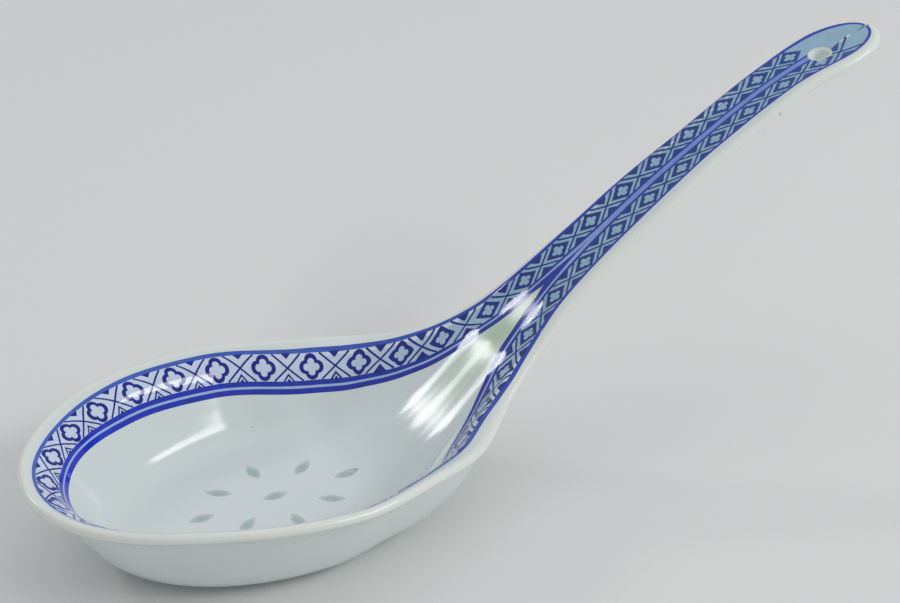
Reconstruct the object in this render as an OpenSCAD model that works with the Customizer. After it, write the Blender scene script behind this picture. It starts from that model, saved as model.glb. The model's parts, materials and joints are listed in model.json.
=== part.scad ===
// Serving spoon of blue-and-white porcelain with rice-grain windows.
// One glazed body, an oval bowl that runs into a long rising handle, carries the fired
// print of its border and nine clear glaze windows in its floor.
// The origin is on the flat foot, below the widest place of the bowl, with the foot at z = 0.
// +X runs along the spoon to the end of the handle, +Z is up, and y = 0 is the plane of symmetry.
// The body is a sheet through the middle of the lip, thickened upwards and downwards.

/* [Bowl] */
// Overall width of the bowl across its lip
bowl_w = 79.2; // [74:0.2:84]
// From the widest place forward to the front of the bowl
front_l = 55.8; // [52:0.2:60]
// Height of the middle of the lip at the front of the bowl
lip_h = 23.1; // [21:0.1:28]
// Thickness of the floor over the foot
floor_t = 5.8; // [5.4:0.1:6.4]
// Thickness of the wall where it turns into the floor
wall_t = 7.1; // [6.6:0.1:7.4]

/* [Throat] */
// From the widest place to where the floor starts to rise
heel_at = 17; // [12:0.5:20]
// From the widest place to where the floor has reached the face of the handle
throat_at = 57; // [52:0.5:66]
// From the widest place to where the flat floor starts to turn into a round hollow
round_from = 8; // [0:1:20]
// From the widest place to where the hollow is fully round
round_to = 46; // [40:1:56]
// From the widest place to where the wall has thinned to that of the handle
neck_at = 80; // [70:1:95]
// Length over which the bowl narrows to the handle
shoulder_l = 110; // [100:1:120]

/* [Handle] */
// From the widest place of the bowl back to the end of the handle
handle_l = 160.4; // [150:0.2:176]
// Height of the middle of the lip at the end of the handle
end_h = 85.3; // [74:0.1:92]
// From the widest place to the waist, where the handle is narrowest
waist_at = 134; // [124:0.5:134]
// Overall width of the handle at the waist
waist_w = 16.9; // [15.5:0.1:18.4]
// Overall width of the handle's end
end_w = 19; // [18.6:0.1:20]
// Length of the rounding at the handle's end
cap_l = 12; // [11:0.1:13]
// Thickness in the middle of the handle
handle_t = 3.7; // [3.4:0.1:4.4]
// Depth of the shallow dish along the handle's face
dish_d = 0.6; // [0.3:0.05:1]

/* [Lip] */
// Radius of the rounded lip, which is half the thickness of every edge
lip_r = 1.1; // [1:0.05:1.4]

/* [Hanging hole] */
// Diameter of the hanging hole
hole_d = 4.2; // [3:0.1:5.5]
// From the centre of the hole to the end of the handle
hole_from_end = 15.4; // [14:0.2:18]
// Size of the bevel round both ends of the hole
hole_bevel = 0.4; // [0.2:0.05:0.7]

/* [Rice-grain windows] */
// Length of one window
grain_l = 6.4; // [5:0.1:7.2]
// Width of one window
grain_w = 2.9; // [2:0.1:3.6]
// Length of the ring of windows, between the centres at its ends
ring_l = 35.4; // [30:0.2:37]
// Width of the ring of windows, between the centres at its sides
ring_w = 22; // [18:0.2:22.6]
// How far the glaze in a window lies below the faces round it
window_sink = 0.35; // [0.15:0.05:0.8]

/* [Border in the bowl] */
// White lip between the middle of the rim and the print
bowl_margin = 1.4; // [1:0.1:2]
// Width of the edge line
bowl_edge_line = 1.1; // [0.8:0.05:1.3]
// Width of the lattice
bowl_lattice = 5.6; // [5.2:0.1:6.4]
// Width of the inner line
bowl_inner_line = 1.1; // [0.8:0.05:1.5]
// White gap between the two inner lines
bowl_gap = 0.55; // [0.4:0.05:0.9]
// Width of the innermost line
bowl_heart_line = 1.3; // [0.8:0.05:1.6]

/* [Border on the handle] */
// From the widest place to where the border starts to narrow
taper_from = 30; // [20:1:36]
// From the widest place to where it has its width on the handle
taper_to = 70; // [62:1:76]
// Length from the lip to the middle of the handle over which the border's shares hold
grip_reach = 8.4; // [8:0.1:9]
// From the widest place to where the two sides of the innermost line have met
heart_meet_at = 71; // [68:0.5:76]
// From the widest place to where the innermost line ends
heart_to = 85; // [80:0.5:90]
// Thickness of the fired print
print_t = 0.06; // [0.04:0.01:0.1]

/* [Hidden] */

// How far a cut runs past the face it cuts
overrun = 3;
// Step for slopes taken from two heights or widths
probe = 0.02;

// Share of the bowl's extra half width that is left, along the shoulder
shoulder_shares = [[0, 1], [0.18, 0.843], [0.32, 0.657], [0.455, 0.303], [0.59, 0.108],
                   [0.73, 0.043], [0.87, 0.026], [1, 0]];
// Share of the climb from the front lip to the handle's end, along the lip
climb_shares = [[0, 0], [0.11, 0.02], [0.21, 0.005], [0.3, -0.013], [0.37, -0.021],
                [0.43, -0.019], [0.485, 0.039], [0.53, 0.128], [0.58, 0.258], [0.67, 0.46],
                [0.79, 0.703], [0.905, 0.899], [1, 1]];
// Share of the depth reached, from the lip to the spoon's middle line
wall_shares = [[0, 0], [0.04, 0.062], [0.106, 0.174], [0.194, 0.46], [0.252, 0.65],
               [0.313, 0.83], [0.4, 0.962], [0.47, 0.99], [0.56, 0.9995], [0.7, 1], [1, 1]];
// The same behind the bowl, where the section is a round hollow
throat_shares = [[0, 0], [0.05, 0.008], [0.12, 0.07], [0.2, 0.27], [0.3, 0.53], [0.4, 0.715],
                 [0.52, 0.86], [0.66, 0.95], [0.82, 0.99], [1, 1]];
// How far the profiles of the front lean together, as a share of their place
front_pull_share = 0.12;
// How far the profiles behind the widest place reach forward, as a share of the lip's normal:
// they leave the lip squarely and curve to cross the middle line squarely
rear_lean_share = 0.5;
// Share of a profile over which the thickness grows from the lip's to its full value, at the
// front and where the hollow is fully round
front_full_share = 0.73;
rear_full_share = 0.31;
// Share of the rounded end over which the body's direction turns into that of the lip line
level_share = 0.5;
// Where the print's edges lie on the handle, as shares of the way from the lip to the middle
grip_shares = [0.1, 0.205, 0.8, 0.88, 0.93];
// Where the rows of the body lie inside the border, as shares of the way to the middle
floor_row_shares = [0.09, 0.18, 0.28, 0.4, 0.55, 0.76, 1];
// Where the four slanting windows lie, as shares of the ring's half length and half width
slant_shares = [0.58, 0.65];

// Counts of steps
front_steps = 20;
rear_steps = 44;
cap_steps = 8;
lip_steps = 6;
arc_steps = 30;
grain_steps = 8;

// Turn from the front to the front's last profile, which stands just before the widest place,
// so that no edge of the body meets a window's corner
front_turn = 89.4;

front_x = -(front_l - lip_r);
end_x = handle_l - lip_r;
cap_x = end_x - cap_l;
bowl_half = bowl_w / 2 - lip_r;
waist_half = waist_w / 2 - lip_r;
end_half = end_w / 2 - lip_r;
hole_x = handle_l - hole_from_end;
sheet_floor = floor_t - lip_r;

function smooth(t) = let (u = min(1, max(0, t))) u * u * (3 - 2 * u);
function unit(p) = p / norm(p);

// Slope of a table's curve at its point k: level at the start, straight on at the end
function secant(tab, k) = (tab[k + 1][1] - tab[k][1]) / (tab[k + 1][0] - tab[k][0]);
function slope_at(tab, k) =
    k == 0 ? 0 :
    k == len(tab) - 1 ? secant(tab, k - 1) :
    let (before = tab[k][0] - tab[k - 1][0], after = tab[k + 1][0] - tab[k][0])
    (secant(tab, k - 1) * after + secant(tab, k) * before) / (before + after);

// Smooth curve through the points of a table
function curve(tab, t) =
    let (
        u = min(tab[len(tab) - 1][0], max(tab[0][0], t)),
        k = min(len(tab) - 2, len([for (p = tab) if (p[0] <= u) p]) - 1),
        h = tab[k + 1][0] - tab[k][0],
        s = (u - tab[k][0]) / h
    )
    (2 * s * s * s - 3 * s * s + 1) * tab[k][1] +
    (s * s * s - 2 * s * s + s) * h * slope_at(tab, k) +
    (3 * s * s - 2 * s * s * s) * tab[k + 1][1] +
    (s * s * s - s * s) * h * slope_at(tab, k + 1);

// Half width of the lip line, and its height, at x
function half_w(x) =
    x <= 0 ? bowl_half * sqrt(max(0, 1 - pow(x / front_x, 2))) :
    x >= cap_x ? end_half * sqrt(max(0, 1 - pow((x - cap_x) / cap_l, 2))) :
    waist_half + (bowl_half - waist_half) * curve(shoulder_shares, x / shoulder_l) +
    (end_half - waist_half) * smooth((x - waist_at) / (cap_x - waist_at));
function lip_z(x) =
    lip_h + (end_h - lip_h) * curve(climb_shares, (x - front_x) / (end_x - front_x));

// Slope of the lip line at x
function lip_slope(x) =
    let (a = min(x, end_x - probe))
    (lip_z(a + probe) - lip_z(a - probe)) / (2 * probe);

// Where the profile from the lip at x meets the middle line, and the sheet's height there
function middle_x(x) =
    x <= 0 ? front_pull_share * x :
    x >= cap_x ? x - pow(end_half / cap_l, 2) * (x - cap_x) :
    x + rear_lean_share * half_w(x) * (half_w(x + probe) - half_w(x - probe)) / (2 * probe);
function middle_z(x) =
    sheet_floor +
    (lip_z(x) - dish_d - sheet_floor) * smooth((x - heel_at) / (throat_at - heel_at));

// How far the section at x has turned from a flat floor into a round hollow
function roundness(x) = smooth((x - round_from) / (round_to - round_from));
// Share of the depth reached at v on the profile from the lip at x
function depth_share(x, v) =
    (1 - roundness(x)) * curve(wall_shares, v) + roundness(x) * curve(throat_shares, v);

// Height of the sheet over the rounded end of the handle, where the dish fades out
function cap_height(x, v, place) =
    lip_z(place) - dish_d * (1 - pow((x - cap_x) / cap_l, 2)) * depth_share(x, v);

// Point of the sheet on the profile from the lip at x, with v from 0 at the lip to 1
function sheet_point(x, v) =
    let (
        m = middle_x(x),
        bend = x >= cap_x ? 0 : smooth(x / heel_at),
        place = m + (x - m) * (1 - v) * (1 - bend * v),
        height = x > cap_x ? cap_height(x, v, place) :
                 lip_z(x) - (lip_z(x) - middle_z(m)) * depth_share(x, v)
    )
    [place, half_w(x) * (1 - v), height];

stations = concat(
    [for (k = [0:front_steps]) front_x * cos(front_turn * k / front_steps)],
    [for (k = [1:rear_steps]) cap_x * k / rear_steps],
    [for (k = [1:cap_steps]) cap_x + cap_l * sin(90 * k / cap_steps)]
);
last = len(stations) - 1;
around = 2 * last;

// Length along a profile against v, as a table for lookup
function sums(list, k = 0, total = 0) =
    k == len(list) ? [] : concat([total + list[k]], sums(list, k + 1, total + list[k]));
function arc_table(x) =
    let (
        pts = [for (k = [0:arc_steps]) sheet_point(x, k / arc_steps)],
        run = concat([0], sums([for (k = [1:arc_steps]) norm(pts[k] - pts[k - 1])]))
    )
    [for (k = [0:arc_steps]) [run[k], k / arc_steps]];

bowl_edges = sums([bowl_margin, bowl_edge_line, bowl_lattice, bowl_inner_line, bowl_gap]);

// Distances of the print's edges from the lip line, on the profile from the lip at x
function print_edges(x, total) =
    let (
        g = smooth((x - taper_from) / (taper_to - taper_from)),
        grip = min(total, grip_reach),
        five = [for (k = [0:4]) (1 - g) * bowl_edges[k] + g * grip_shares[k] * grip]
    )
    concat(five, [min(five[4] + bowl_heart_line, (five[4] + total) / 2)]);

// The rows of the body on one profile, as values of v
function row_values(x) =
    let (
        tab = arc_table(x),
        e = print_edges(x, tab[arc_steps][0]),
        dist = [e[0], e[1], e[1] + (e[2] - e[1]) / 3, e[1] + (e[2] - e[1]) * 2 / 3,
                e[2], e[3], e[4], e[5]],
        v = [for (d = dist) lookup(d, tab)]
    )
    concat([0], v, [for (s = floor_row_shares) v[7] + (1 - v[7]) * s]);

rows = [for (x = stations) row_values(x)];
last_row = len(rows[0]) - 1;

// Steps from row to row, counted from the lip, at which each strip of the print starts and ends
edge_line_steps = [1, 2];
lattice_steps = [2, 5];
inner_line_steps = [5, 6];
heart_line_steps = [7, 8];
// Steps of the body's upper side that its lower side repeats
lower_side_steps = [0, 2, 4, 5, 7, 9, 10, 11, 12, 13, 14, last_row];

function mirrored(p) = [p[0], -p[1], p[2]];
sheet = [for (k = [0:last]) [for (v = rows[k]) sheet_point(stations[k], v)]];
function sheet_at(k, j) =
    k < 0 ? mirrored(sheet[-k][j]) : k > last ? mirrored(sheet[around - k][j]) : sheet[k][j];

// Direction out of the sheet's upper face. Over the rounded end, where the profiles run together,
// it turns into the direction square to the lip line.
function upward(k, j) =
    let (
        inwards = [sheet[k][last_row][0] - sheet[k][0][0], -sheet[k][0][1], 0],
        along = j < last_row ? sheet_at(k + 1, j) - sheet_at(k - 1, j) :
                sheet[min(last, k + 1)][j] - sheet[max(0, k - 1)][j],
        down = j == 0 ? inwards : j == last_row ? [0, -1, 0] : sheet[k][j + 1] - sheet[k][j - 1],
        n = cross(down, along),
        out = unit(n[2] < 0 ? -n : n),
        level = unit([-lip_slope(sheet[k][j][0]), 0, 1]),
        share = min(1, max(0, (stations[k] - cap_x) / (level_share * cap_l)))
    )
    unit(out + share * (level - out));
normals = [for (k = [0:last]) [for (j = [0:last_row]) upward(k, j)]];

function thickness(k, j) =
    let (
        full = wall_t + (handle_t - wall_t) *
               smooth((sheet[k][last_row][0] - heel_at) / (neck_at - heel_at)),
        share = front_full_share + (rear_full_share - front_full_share) * roundness(stations[k])
    )
    2 * lip_r + (full - 2 * lip_r) * smooth(rows[k][j] / share);

function above_foot(p) = [p[0], p[1], max(0, p[2])];
upper = [for (k = [0:last]) [for (j = [0:last_row]) sheet[k][j] + lip_r * normals[k][j]]];
lower = [for (k = [0:last]) [for (j = [0:last_row])
    above_foot(sheet[k][j] - (thickness(k, j) - lip_r) * normals[k][j])]];

// The rounding of the lip, from its crest outwards and down
lip = [for (k = [0:last])
    let (out = unit([sheet[k][0][0] - sheet[k][last_row][0], sheet[k][0][1], 0]))
    [for (a = [1:lip_steps - 1])
        sheet[k][0] + lip_r * (cos(180 * a / lip_steps) * normals[k][0] +
                               sin(180 * a / lip_steps) * out)]];

// One profile of the body, from the middle of its upper face round the lip to below
function body_profile(k) = concat(
    [for (j = [last_row:-1:0]) upper[k][j]], lip[k], [for (j = lower_side_steps) lower[k][j]]);
profiles = [for (k = [0:last]) body_profile(k)];
profile_end = len(profiles[0]) - 1;

function half_index(i) = min(i % around, around - i % around);
function ring_point(grid, i, r) =
    let (k = half_index(i))
    i % around <= last ? grid[k][r] : mirrored(grid[k][r]);

// The two sides share the points of the middle lines, so the body closes on itself
function body_index(i, r) =
    r == 0 ? half_index(i) :
    r == profile_end ? last + 1 + (profile_end - 1) * around + half_index(i) :
    last + 1 + (r - 1) * around + i % around;

// Each four-sided patch is cut into triangles from a to c or from b to d, the same on both
// sides of the spoon, and so that no triangle lies in the plane of symmetry
function halves(a, b, c, d, from_a) = from_a ? [[a, b, c], [a, c, d]] : [[a, b, d], [b, c, d]];
function leans_back(i) =
    let (h = i % around, k = min(h, around - 1 - h))
    (h < last) == (k < last / 2);

module thick_sheet() {
    points = concat(
        [for (k = [0:last]) profiles[k][0]],
        [for (r = [1:profile_end - 1]) for (i = [0:around - 1]) ring_point(profiles, i, r)],
        [for (k = [0:last]) profiles[k][profile_end]]
    );
    faces = [for (i = [0:around - 1]) for (r = [0:profile_end - 1])
        let (
            a = body_index(i, r + 1), b = body_index(i + 1, r + 1),
            c = body_index(i + 1, r), d = body_index(i, r)
        )
        each halves(a, b, c, d, leans_back(i) == (r >= last_row))];
    polyhedron(points = points, faces = faces);
}

// A strip of the print lies on the rows from_row to to_row of the body's upper face.
// Towards the handle's end it stops at to_x, and past wide_x it closes over the middle line.
module print_strip(from_row, to_row, to_x, wide_x) {
    depth = (wide_x < to_x ? last_row : to_row) - from_row;
    function covers(i, j) =
        let (k = min(i % around, around - 1 - i % around))
        j >= 0 && j < (stations[k] >= wide_x ? depth : to_row - from_row) &&
        stations[k + 1] <= to_x + probe;
    function at_middle(j) = from_row + j == last_row;
    function index(i, j, layer) =
        (layer * (depth + 1) + j) * around + (at_middle(j) ? half_index(i) : i % around);
    lifted = [for (k = [0:last]) [for (j = [0:last_row]) upper[k][j] + print_t * normals[k][j]]];
    points = concat(
        [for (j = [0:depth]) for (i = [0:around - 1]) ring_point(lifted, i, from_row + j)],
        [for (j = [0:depth]) for (i = [0:around - 1]) ring_point(upper, i, from_row + j)]
    );
    function wall(p, q) = [[p[0], p[1], q[1]], [p[0], q[1], q[0]]];
    faces = [for (i = [0:around - 1]) for (j = [0:depth - 1]) if (covers(i, j))
        let (
            a = index(i, j, 0), b = index(i + 1, j, 0),
            c = index(i + 1, j + 1, 0), d = index(i, j + 1, 0),
            e = index(i, j, 1), f = index(i + 1, j, 1),
            g = index(i + 1, j + 1, 1), h = index(i, j + 1, 1)
        )
        each concat(
            halves(a, b, c, d, !leans_back(i)),
            [for (t = halves(e, f, g, h, !leans_back(i))) [t[2], t[1], t[0]]],
            covers(i, j - 1) ? [] : wall([b, a], [f, e]),
            covers(i, j + 1) || at_middle(j + 1) ? [] : wall([d, c], [h, g]),
            covers(i + around - 1, j) ? [] : wall([a, d], [e, h]),
            covers(i + 1, j) ? [] : wall([c, b], [g, f])
        )];
    polyhedron(points = points, faces = faces);
}

// The frame of the hanging hole: its z axis leaves the handle's face squarely
hole_tilt = atan(lip_slope(hole_x));
module at_hole() {
    translate([hole_x, 0, lip_z(hole_x) - dish_d])
        rotate([0, -hole_tilt, 0])
            children();
}

module hanging_hole() {
    above = lip_r;
    below = handle_t - lip_r;
    at_hole() {
        translate([0, 0, -below - overrun])
            cylinder(d = hole_d, h = handle_t + 2 * overrun, $fn = 48);
        translate([0, 0, above - hole_bevel])
            cylinder(d1 = hole_d, d2 = hole_d + 2 * (hole_bevel + overrun),
                     h = hole_bevel + overrun, $fn = 48);
        translate([0, 0, -below - overrun])
            cylinder(d1 = hole_d + 2 * (hole_bevel + overrun), d2 = hole_d,
                     h = hole_bevel + overrun, $fn = 48);
    }
}

// Centres of the windows: one in the middle, and a ring of eight round it
function grain_place(k) =
    k == 0 ? [0, 0] :
    k <= 2 ? [(2 * k - 3) * ring_l / 2, 0] :
    k <= 4 ? [0, (2 * k - 7) * ring_w / 2] :
    [(k % 2 * 2 - 1) * slant_shares[0] * ring_l / 2,
     (k < 7 ? 1 : -1) * slant_shares[1] * ring_w / 2];

// Outline of a window, pointed at both ends
module grain_outline() {
    side = [for (k = [-grain_steps:grain_steps])
        [k / grain_steps * grain_l / 2, (1 - pow(k / grain_steps, 2)) * grain_w / 2]];
    polygon(concat(side, [for (k = [len(side) - 2:-1:1]) [side[k][0], -side[k][1]]]));
}

// A window's outline at its place, pointing at the middle one, from one height to another
module grain_prism(k, from_z, to_z) {
    place = grain_place(k);
    translate([place[0], place[1], from_z])
        rotate([0, 0, k == 0 ? 0 : atan2(place[1], place[0])])
            linear_extrude(to_z - from_z)
                grain_outline();
}

module porcelain_body() {
    color("aliceblue")
        difference() {
            thick_sheet();
            hanging_hole();
            for (k = [0:8])
                grain_prism(k, -overrun, floor_t + overrun);
        }
}

module edge_line() {
    color("royalblue")
        print_strip(edge_line_steps[0], edge_line_steps[1], end_x, end_x);
}

module lattice_band() {
    color("cornflowerblue")
        difference() {
            print_strip(lattice_steps[0], lattice_steps[1], end_x, hole_x);
            hanging_hole();
        }
}

module inner_line() {
    color("mediumblue")
        difference() {
            print_strip(inner_line_steps[0], inner_line_steps[1], hole_x, end_x);
            hanging_hole();
        }
}

// The two sides of the innermost line run together and then stop
module heart_line() {
    color("mediumblue")
        print_strip(heart_line_steps[0], heart_line_steps[1], heart_to, heart_meet_at);
}

module grain_window(k) {
    color("lightcyan", 0.6)
        grain_prism(k, window_sink, floor_t - window_sink);
}

porcelain_body();
edge_line();
lattice_band();
inner_line();
heart_line();
for (k = [0:8])
    grain_window(k);
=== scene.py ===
"""Serving spoon of blue-and-white porcelain with rice-grain windows, dressed for the camera."""

import json

import bmesh
import bpy
import numpy as np
from bpy.props import FloatProperty, FloatVectorProperty, IntProperty, PointerProperty
from mathutils import Matrix, Vector


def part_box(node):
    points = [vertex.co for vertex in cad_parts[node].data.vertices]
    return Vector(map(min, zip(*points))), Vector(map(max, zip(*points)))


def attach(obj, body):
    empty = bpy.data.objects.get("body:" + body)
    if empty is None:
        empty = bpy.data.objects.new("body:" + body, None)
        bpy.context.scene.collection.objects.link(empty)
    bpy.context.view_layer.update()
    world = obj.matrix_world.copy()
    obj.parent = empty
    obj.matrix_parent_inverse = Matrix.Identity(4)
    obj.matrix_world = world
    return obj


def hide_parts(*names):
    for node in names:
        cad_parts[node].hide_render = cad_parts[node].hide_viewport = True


bl_info = {
    "name": "Rice-grain porcelain spoon",
    "version": (1, 0, 0),
    "blender": (4, 5, 0),
    "location": "3D View > Sidebar > Spoon",
    "description": "Models the glazed body, the cobalt border and the windows of a serving spoon",
    "category": "Object",
}

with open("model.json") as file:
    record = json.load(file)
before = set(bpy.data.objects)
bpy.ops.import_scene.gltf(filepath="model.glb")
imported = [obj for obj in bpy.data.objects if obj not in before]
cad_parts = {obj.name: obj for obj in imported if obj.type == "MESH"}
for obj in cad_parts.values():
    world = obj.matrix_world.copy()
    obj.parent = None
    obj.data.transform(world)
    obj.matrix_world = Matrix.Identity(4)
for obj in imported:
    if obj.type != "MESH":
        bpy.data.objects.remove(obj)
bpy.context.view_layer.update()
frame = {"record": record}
MM = 0.001

# What the solids already say about the spoon
BODY_LOW, BODY_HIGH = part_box("porcelain_body")
MOUNTS = {mount["name"]: mount for mount in frame["record"]["mounts"]}
HOLE = MOUNTS["hanging_hole"]
WINDOW_NODES = [f"grain_window_{k}" for k in range(1, 10)]
WINDOW_PLACES = [sum(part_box(node), Vector()) / 2 for node in WINDOW_NODES]

# Share of the bowl's extra half width that is left, along the shoulder
SHOULDER_SHARES = [(0, 1), (0.18, 0.843), (0.32, 0.657), (0.455, 0.303), (0.59, 0.108),
                   (0.73, 0.043), (0.87, 0.026), (1, 0)]
# Share of the climb from the front lip to the handle's end, along the lip
CLIMB_SHARES = [(0, 0), (0.11, 0.02), (0.21, 0.005), (0.3, -0.013), (0.37, -0.021),
                (0.43, -0.019), (0.485, 0.039), (0.53, 0.128), (0.58, 0.258), (0.67, 0.46),
                (0.79, 0.703), (0.905, 0.899), (1, 1)]
# Share of the depth reached, from the lip to the spoon's middle line
WALL_SHARES = [(0, 0), (0.04, 0.062), (0.106, 0.174), (0.194, 0.46), (0.252, 0.65),
               (0.313, 0.83), (0.4, 0.962), (0.47, 0.99), (0.56, 0.9995), (0.7, 1), (1, 1)]
# The same behind the bowl, where the section is a round hollow
THROAT_SHARES = [(0, 0), (0.05, 0.008), (0.12, 0.07), (0.2, 0.27), (0.3, 0.53), (0.4, 0.715),
                 (0.52, 0.86), (0.66, 0.95), (0.82, 0.99), (1, 1)]
FRONT_PULL_SHARE = 0.12
REAR_LEAN_SHARE = 0.5
# Share of a profile over which the thickness grows to its full value, at the front and behind
FRONT_FULL_SHARE = 0.73
REAR_FULL_SHARE = 0.31
# Where the print's edges lie on the handle, as shares of the way from the lip to the middle
GRIP_SHARES = [0.1, 0.205, 0.825, 0.91, 0.974]
# Where the two bands start to be laid side by side along the handle, in mm
GRIP_FROM = 118
# How far the print was laid off the handle's middle, towards +Y: (x, offset) in mm
OFF_MIDDLE = [(0, 0), (54, 0), (70, 0.4), (80, 0.75), (95, 1.45), (112, 1.65), (125, 1.6),
              (135, 1.2), (145, 0.6), (152, 0.4), (170, 0.35)]
# How much wider or narrower than usual the border was laid, and the white lip outside it left,
# from the front to the neck
BORDER_WIDTH_SHARES = [(0, 1), (0.07, 0.9), (0.2, 1), (0.3, 1.04), (0.8, 1.05), (1, 1)]
MARGIN_SHARES = [(0, 0.95), (0.07, 1.15), (0.2, 1), (0.27, 0.76), (0.42, 0.8), (0.52, 0.9),
                 (0.61, 1.45), (0.71, 1.8), (0.79, 1.6), (0.82, 0.85), (0.86, 0.2), (0.92, 0.3),
                 (1, 0.8)]


def length(name, description, default, low, high):
    """A size of the spoon, given in millimetres and kept in metres."""
    return FloatProperty(name=name, description=description, default=default * MM, min=low * MM,
                         max=high * MM, unit="LENGTH", subtype="DISTANCE", precision=4)


def colour(name, description, hex_value):
    """A colour given as sRGB hex and kept as linear light."""
    return FloatVectorProperty(name=name, description=description, default=linear(hex_value),
                               size=3, min=0, max=1, subtype="COLOR")


def linear(hex_value):
    """sRGB hex to linear red, green and blue."""
    values = [int(hex_value[k:k + 2], 16) / 255 for k in (0, 2, 4)]
    return tuple(v / 12.92 if v <= 0.04045 else ((v + 0.055) / 1.055) ** 2.4 for v in values)


class SpoonShape(bpy.types.PropertyGroup):
    """Sizes of the glazed body."""
    bowl_width: length("Bowl width", "Overall width across the lip",
                       (BODY_HIGH.y - BODY_LOW.y) / MM, 74, 84)
    front_length: length("Front length", "From the widest place to the front of the bowl",
                         -BODY_LOW.x / MM, 52, 60)
    handle_length: length("Handle length", "From the widest place to the end of the handle",
                          BODY_HIGH.x / MM, 150, 176)
    lip_height: length("Lip height", "Height of the middle of the lip at the front", 23.1, 21, 28)
    end_height: length("End height", "Height of the middle of the lip at the handle's end",
                       85.3, 74, 92)
    lip_radius: length("Lip radius", "Radius of the rounded lip", 1.1, 1, 1.4)
    floor_thickness: length("Floor thickness", "Thickness over the foot", 5.8, 5.4, 6.4)
    wall_thickness: length("Wall thickness", "Thickness where the wall turns into the floor",
                           7.1, 6.6, 7.4)
    handle_thickness: length("Handle thickness", "Thickness in the middle of the handle",
                             3.7, 3.4, 4.4)
    dish_depth: length("Dish depth", "Depth of the shallow dish along the handle", 0.6, 0.3, 1)
    waist_width: length("Waist width", "Overall width of the handle at its waist", 16.9, 15.5, 18.4)
    end_width: length("End width", "Overall width of the handle's end", 19, 18.6, 20)
    cap_length: length("Cap length", "Length of the rounding at the handle's end", 12, 11, 13)
    shoulder_length: length("Shoulder length", "Length over which the bowl narrows",
                            110, 100, 120)
    waist_at: length("Waist at", "From the widest place to the waist", 134, 124, 134)
    heel_at: length("Heel at", "Where the floor starts to rise", 17, 12, 20)
    throat_at: length("Throat at", "Where the floor has reached the handle's face", 57, 52, 66)
    round_from: length("Round from", "Where the flat floor starts to turn hollow", 8, 0, 20)
    round_to: length("Round to", "Where the hollow is fully round", 46, 40, 56)
    neck_at: length("Neck at", "Where the wall has thinned to the handle's", 80, 70, 95)
    foot_blend: length("Foot blend", "Softness of the edge round the flat foot", 0.25, 0.05, 0.5)


class SpoonBorder(bpy.types.PropertyGroup):
    """Sizes of the printed border."""
    margin: length("Margin", "White lip outside the print", 1.4, 1, 2)
    edge_line: length("Edge line", "Width of the line nearest to the lip", 1.1, 0.8, 1.3)
    lattice: length("Lattice", "Width of the patterned band", 5.6, 5.2, 6.4)
    inner_line: length("Inner line", "Width of the line inside the lattice", 1.1, 0.8, 1.5)
    gap: length("Gap", "Pale gap between the two inner lines", 0.55, 0.4, 0.9)
    heart_line: length("Heart line", "Width of the innermost line", 1.3, 0.8, 1.6)
    taper_from: length("Taper from", "Where the border starts to narrow", 30, 20, 36)
    taper_to: length("Taper to", "Where the border has its width on the handle", 70, 62, 76)
    grip_reach: length("Grip reach", "Length over which the handle's shares hold", 8.4, 8, 9)
    heart_meets_at: length("Heart meets at", "Where the innermost lines have met", 71, 68, 76)
    heart_ends_at: length("Heart ends at", "Where the innermost line ends", 84, 80, 90)
    print_height: length("Print height", "How far the print stands off the clay", 0.03, 0.01, 0.1)


class SpoonWindows(bpy.types.PropertyGroup):
    """Sizes of the rice-grain windows."""
    length: length("Length", "Length of one window", 6.4, 5, 7.2)
    width: length("Width", "Width of one window", 2.9, 2, 3.6)
    sag: length("Sag", "How far the glaze has sunk in the middle of a window", 0.12, 0.05, 0.6)


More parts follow.
